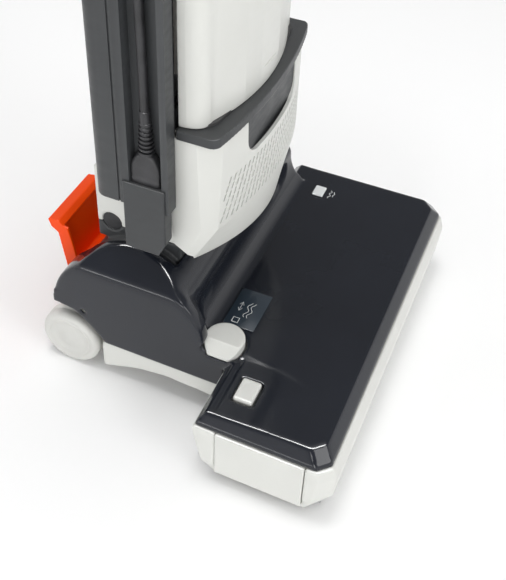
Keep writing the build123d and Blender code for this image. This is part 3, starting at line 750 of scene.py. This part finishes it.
def wheels():
    """Rear wheels: a shallow dish, a ringed rim, a grooved tread and a bored hub."""
    # offset from the outer face and radius
    profile = [
        (0.7, 0.01), (0.7, 9.0), (1.3, 9.8), (1.5, 20.5), (0.9, 21.5), (0.5, 22.4), (0.9, 23.2), (0.4, 24.6),
        (0.0, 26.6), (0.5, 28.6), (1.9, 30.4), (4.2, 31.6), (6.5, 31.9), (10.6, 31.9), (11.0, 31.5),
        (11.4, 31.9), (16.0, 31.9), (18.6, 31.5), (20.8, 30.0), (21.9, 27.6), (22.0, 25.0), (18.5, 23.0),
        (18.5, 8.0), (22.0, 7.4), (22.0, 4.2), (8.0, 4.2), (8.0, 0.01),
    ]
    for node, x, direction in (("rear_wheel_near", -119.0, 1), ("rear_wheel_far", 151.0, -1)):
        wheel = lathe_x(node + "_disc", profile, x, WHEEL_Y, WHEEL_RADIUS, direction, 96)
        smooth_shading(wheel, 45)
        stand_for(wheel, node)


def bristle(x, spin, lean):
    """Corners of one flat bristle, from its root out to its leaning tip."""
    root, tip = 23.6, 33.8
    half_width = 0.55
    half_depth = half_width * 2.6
    corners = []
    for radius in (root, tip):
        turn = spin + lean * (radius - root) / 10
        for side, end in ((1, 1), (1, -1), (-1, -1), (-1, 1)):
            depth = half_depth * end
            y = BRUSH_Y - radius * sin(turn) + depth * cos(turn)
            z = BRUSH_Z + radius * cos(turn) + depth * sin(turn)
            corners.append(at(x + half_width * side, y, z))
    return corners


def brush():
    """Brush core and its four spiral rows of tufts with separate bristles."""
    core = cad_copy("brush_roller", "brush_core")
    smooth_shading(core)
    stand_for(core, "brush_roller")
    block = ((0, 1, 5, 4), (1, 2, 6, 5), (2, 3, 7, 6), (3, 0, 4, 7), (3, 2, 1, 0), (4, 5, 6, 7))
    verts, faces = [], []
    for row in range(4):
        for step in range(13):
            spin = radians(row * 90 + step * 9)
            for k in range(14):
                start = len(verts)
                verts += bristle(-158 + step * 24 + k * 1.25, spin, 0.05 * sin(7.3 * k + step))
                faces += [tuple(start + i for i in face) for face in block]
    stand_for(new_piece("bristle_tufts", verts, faces), "brush_bristles")


def ribbon(points, width):
    """Thin flat stroke along a level polyline, for a printed pictogram."""
    verts, faces = [], []
    for i, (x, y) in enumerate(points):
        before = points[max(i - 1, 0)]
        after = points[min(i + 1, len(points) - 1)]
        along = Vector((after[0] - before[0], after[1] - before[1])).normalized()
        side = Vector((-along.y, along.x)) * width / 2
        verts += [(x + side.x, y + side.y), (x - side.x, y - side.y)]
    for i in range(len(points) - 1):
        faces.append((2 * i, 2 * i + 1, 2 * i + 3, 2 * i + 2))
    return verts, faces


def wavy(x, y, step, count, swing, beat):
    """Points of a wavy line that runs along X."""
    return [(x + step * i, y + swing * sin(i * beat)) for i in range(count)]


def pictograms():
    """Wordless pile-height and brush symbols, printed as raised ink."""
    plate_top = 89.25
    deck_top = 88.35
    ink_depth = 0.5
    strokes = [
        (wavy(-66, -48, 2, 11, 1.6, 1.1), 0.5, plate_top),
        (wavy(-66, -44.5, 2, 11, 1.6, 1.1), 0.5, plate_top),
        ([(-60, -37), (-48, -37)], 0.45, plate_top),
        ([(-52, -35), (-48, -37), (-52, -39)], 0.5, plate_top),
        ([(-56, -35), (-60, -37), (-56, -39)], 0.5, plate_top),
        ([(-75, -36), (-75, -42), (-69, -42), (-69, -36), (-75, -36)], 0.8, plate_top),
        (wavy(133, -58, 1.2, 12, 1.2, 1.2), 0.7, deck_top),
        (wavy(137, -62, 1.2, 8, 0.8, 1.2), 0.7, deck_top),
    ]
    verts, faces = [], []
    for points, width, z in strokes:
        start = len(verts)
        flat, quads = ribbon(points, width)
        count = len(flat)
        verts += [at(x, y, z) for x, y in flat] + [at(x, y, z - ink_depth) for x, y in flat]
        faces += [tuple(start + i for i in quad) for quad in quads]
        faces += [tuple(start + count + i for i in reversed(quad)) for quad in quads]
    trim(new_piece("printed_symbols", verts, faces), "head", "lens_white")


def level_plate():
    """Tinted plate under the pile-height symbols."""
    plate = cad_copy("level_plate", "level_window")
    edge_bevel(plate, 0.3, 2)
    smooth_shading(plate)
    stand_for(plate, "level_plate")
    plate.data.materials[0] = MATERIALS["plate_tint"]


# ------------------------------------------------------------------ upright body


def bow(half, corner_y, front_y, rear_y, chamfer, corner_steps=1):
    """Plan of the body: straight sides, cut or round front corners and a bowed front."""
    steps = 64
    inner = half - chamfer * 0.8
    front = []
    for i in range(steps + 1):
        u = -1 + 2 * i / steps
        front.append((u * inner, corner_y + (front_y - corner_y) * (1 - (u * 0.96) ** 2)))
    corner = []
    for k in range(corner_steps):
        t = k / corner_steps
        a, b, c = (1 - t) ** 2, 2 * t * (1 - t), t * t
        corner.append((-half * (a + b) + front[0][0] * c, (corner_y + chamfer) * a + front[0][1] * (b + c)))
    near = [(-half, rear_y)] + corner
    points = near + front + [(-x, y) for x, y in reversed(near)]
    return [(BODY_X + x, y) for x, y in points]


def vent_slots():
    """Slanted slots of the front grille, in six staggered rows."""
    slots = []
    for row in range(6):
        z = 220 + 7.4 * row
        for column in range(26):
            x = -83 + 6.7 * column + 3.3 * (row % 2)
            if BODY_X - 90 + row * 1.5 <= x <= BODY_X + 90:
                outline = [(x - 2.5, z - 2.9), (x - 0.2, z - 3.1), (x + 2.5, z + 2.9), (x + 0.2, z + 3.1)]
                slots.append(front_slab("slot", outline, -50, -22))
    return join(slots, "slots")


def motor_housing():
    """Bowed lower front shell with its grille, a pocket for the cover's foot and a raised rear edge."""
    wall = 3
    # height, half width, corner Y, front Y and corner chamfer
    levels = [
        (171, 99, -1, -36, 3), (176, 99.6, -4, -36.7, 4), (212, 101, -25, -42, 11), (250, 101, -26, -40.5, 14),
        (303, 101, -27, -38, 17),
    ]
    outer, inner = [], []
    for z, half, corner, front, chamfer in levels:
        inner_z = z + wall if z == 171 else z
        outer_plan = bow(half, corner, front, 13.6, chamfer)
        inner_plan = bow(half - wall, corner + wall, front + wall, 13.0, chamfer)
        outer.append([at(x, y, z) for x, y in outer_plan])
        inner.append([at(x, y, inner_z) for x, y in inner_plan])
    shell = shell_piece("housing_shell", outer[::-1], inner[::-1])
    edge_bevel(shell, 1.1, 2, 22)
    pocket = front_slab("pocket", rounded_outline(BODY_X - 53, BODY_X + 53, 266, 340, 15), -60, -30)
    rear_rise = side_slab("rear_rise", [(-5, 160), (-5, 175), (16, 189), (30, 189), (30, 160)], -110, 120)
    carve(shell, [vent_slots(), pocket, rear_rise])
    smooth_shading(shell, 30)
    stand_for(shell, "motor_housing")
    lining_plan = rounded_outline(BODY_X - 56, BODY_X + 56, 263, 302.5, 15)
    lining = front_slab("pocket_lining", lining_plan, -33.6, -31.6)
    edge_bevel(lining, 0.6, 2)
    trim(lining, "upright", "body_dark")


def grille_shade_sheet():
    """Black sheet close behind the grille's slots, painted shade that makes the slots read dark."""
    rings = []
    for z in (214, 264):
        front = bow(97, -22, -38.6, 0, 12)[4:-4]
        back = bow(96, -21, -37.6, 0, 12)[4:-4]
        rings.append([at(x, y + 1.5, z) for x, y in front + back[::-1]])
    # The black sheet is painted shade behind the slots.
    trim(ring_piece("grille_shade_sheet", rings), "upright", "part_black")


def bag_cover():
    """Bowed cover of the bag chamber with a rounded top edge, a finger grip and a groove at its foot."""
    # height and inset
    levels = [
        (312.6, 0.6), (314, 0), (500, 0), (700, 0), (850, 0), (864, 0.8), (870, 2.6), (873.6, 5.6), (875, 9.6),
    ]
    outer, inner = [], []
    for z, inset in levels:
        inner_z = z - 3 if z > 800 else z
        outer_plan = bow(97 - inset, -14 + inset, -31 + inset, 7.4, 20, 8)
        inner_plan = bow(94 - inset, -11 + inset, -28 + inset, 7.2, 18, 8)
        outer.append([at(x, y, z) for x, y in outer_plan])
        inner.append([at(x, y, inner_z) for x, y in inner_plan])
    shell = shell_piece("bag_cover_shell", outer, inner)
    edge_bevel(shell, 0.9, 2, 25)
    grip = front_slab("grip", rounded_outline(BODY_X - 24, BODY_X + 24, 838, 862, 8), -36, -29.6)
    foot_groove = front_slab("foot_groove", rounded_outline(BODY_X - 60, BODY_X + 60, 330, 345, 6), -36, -30.2)
    carve(shell, [grip, foot_groove])
    smooth_shading(shell, 30)
    stand_for(shell, "bag_cover")


def bag_rings(low, high):
    """Level rings of the bag: blunt ellipses that are pinched at the side folds."""
    centre = (low + high) / 2
    half = (high - low) / 2
    end_gap = 0.004
    count = 18
    steps = 48
    rings = []
    for k in range(count + 1):
        t = k / count
        z = low.z + end_gap + (high.z - low.z - 2 * end_gap) * t
        pull = 0.84 + 0.1 * sin(pi * t) ** 0.5
        ring = []
        for i in range(steps):
            angle = 2 * pi * i / steps
            c, s = cos(angle), sin(angle)
            fold = 1 - 0.1 * max(0.0, 1 - abs(s) * 4) * (0.5 + 0.5 * sin(pi * t))
            x = centre.x + half.x * pull * fold * abs(c) ** 0.45 * (1 if c >= 0 else -1)
            y = centre.y + half.y * pull * abs(s) ** 0.5 * (1 if s >= 0 else -1)
            ring.append(Vector((x, y, z)))
        rings.append(ring)
    return rings


def inflate(bag):
    """Presses the bag out from inside with a short cloth simulation."""
    last_frame = 18
    cloth = bag.modifiers.new("cloth", "CLOTH")
    cloth.settings.use_pressure = True
    cloth.settings.uniform_pressure_force = 4
    cloth.settings.effector_weights.gravity = 0
    for number in range(1, last_frame + 1):
        bpy.context.scene.frame_set(number)
    bake(bag)
    bpy.context.scene.frame_set(1)


def dust_bag():
    """Fleece bag, swollen by no more than a few millimetres, then creased along its folded sides."""
    most_swell = 0.006
    low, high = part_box("dust_bag")
    bag = ring_piece("fleece_bag", bag_rings(low, high))
    add_modifier(bag, "REMESH", mode="VOXEL", voxel_size=0.0055)
    bake(bag)
    start = [v.co.copy() for v in bag.data.vertices]
    inflate(bag)
    for vertex, before in zip(bag.data.vertices, start):
        step = vertex.co - before
        if step.length > most_swell:
            vertex.co = before + step.normalized() * most_swell
        crease = 0.0016 * sin(vertex.co.z * 95 + 4 * sin(vertex.co.x * 70)) * sin(vertex.co.x * 140)
        vertex.co.y += crease
        vertex.co.x = min(max(vertex.co.x, low.x), high.x)
        vertex.co.y = min(max(vertex.co.y, low.y), high.y)
    add_modifier(bag, "SUBSURF", levels=1, render_levels=1)
    bake(bag)
    bag.data.shade_smooth()
    stand_for(bag, "dust_bag")


def neck_casting():
    """Dark drum between the arms with a light riser on top."""
    split = 168.2
    for name, low, high, slot_name in (
        ("neck_drum", split, 400, "body_dark"),
        ("neck_riser", -50, split, "shell_light"),
    ):
        piece = cad_copy("neck", name)
        away = side_slab("away", [(-200, low), (300, low), (300, high), (-200, high)], -300, 300)
        carve(piece, [away])
        soften(piece, 1.3, 4)
        stand_for(piece, "neck", slot=slot_name)


def foot_pedal():
    """Pedal tray with the front of its cheeks cut away."""
    cheeks = side_slab("cheeks", [(90, 107), (127, 107), (134, 141.6), (134, 160), (90, 160)], -100, 20)
    softened_node("foot_pedal", "pedal_tray", 0.7, 9, [cheeks])


def riser_bore_shade_disc():
    """Round black disc in the near end of the riser, painted shade that stands for its dark bore."""
    shade_disc = lathe_x("riser_bore_shade_disc", [(0, 0.01), (0, 9.6), (1.2, 9.6), (1.2, 0.01)], -77.6, 85, 171, 1, 40)
    smooth_shading(shade_disc)
    # The black disc is painted shade inside the riser's bore.
    trim(shade_disc, "upright", "part_black")


def upright_body():
    motor_housing()
    grille_shade_sheet()
    bag_cover()
    dust_bag()
    lead_connector()
    softened_node("body_ledge", "ledge_band", 0.8, 2)
    softened_node("lead_socket", "socket_block", 0.8, 3)
    neck_casting()
    foot_pedal()
    riser_bore_shade_disc()
    softened_node("handle_grip", "grip_loop", 1.0, 6)
    softened_node("upper_cord_hook", "upper_hook_moulding", 0.9, 4)
    softened_node("lower_cord_hook", "lower_hook_moulding", 0.9, 4)
    for node, width in (
        ("body_spine", 1.6), ("top_housing", 1.8), ("cover_latch", 1.0), ("power_switch", 1.2),
        ("handle_collar", 1.0), ("cord_clip", 0.5),
    ):
        piece = cad_copy(node, node + "_moulding")
        edge_bevel(piece, width, 3, 35)
        smooth_shading(piece, 30)
        stand_for(piece, node)


# ------------------------------------------------------------------ everything


def carried_over():
    """Gives every CAD node that still shows its own material."""
    for name, node in frame["nodes"].items():
        node.data.materials.clear()
        node.data.materials.append(MATERIALS[NODE_SLOT[name]])


studio()
carried_over()
mains_lead()
power_head()
upright_body()
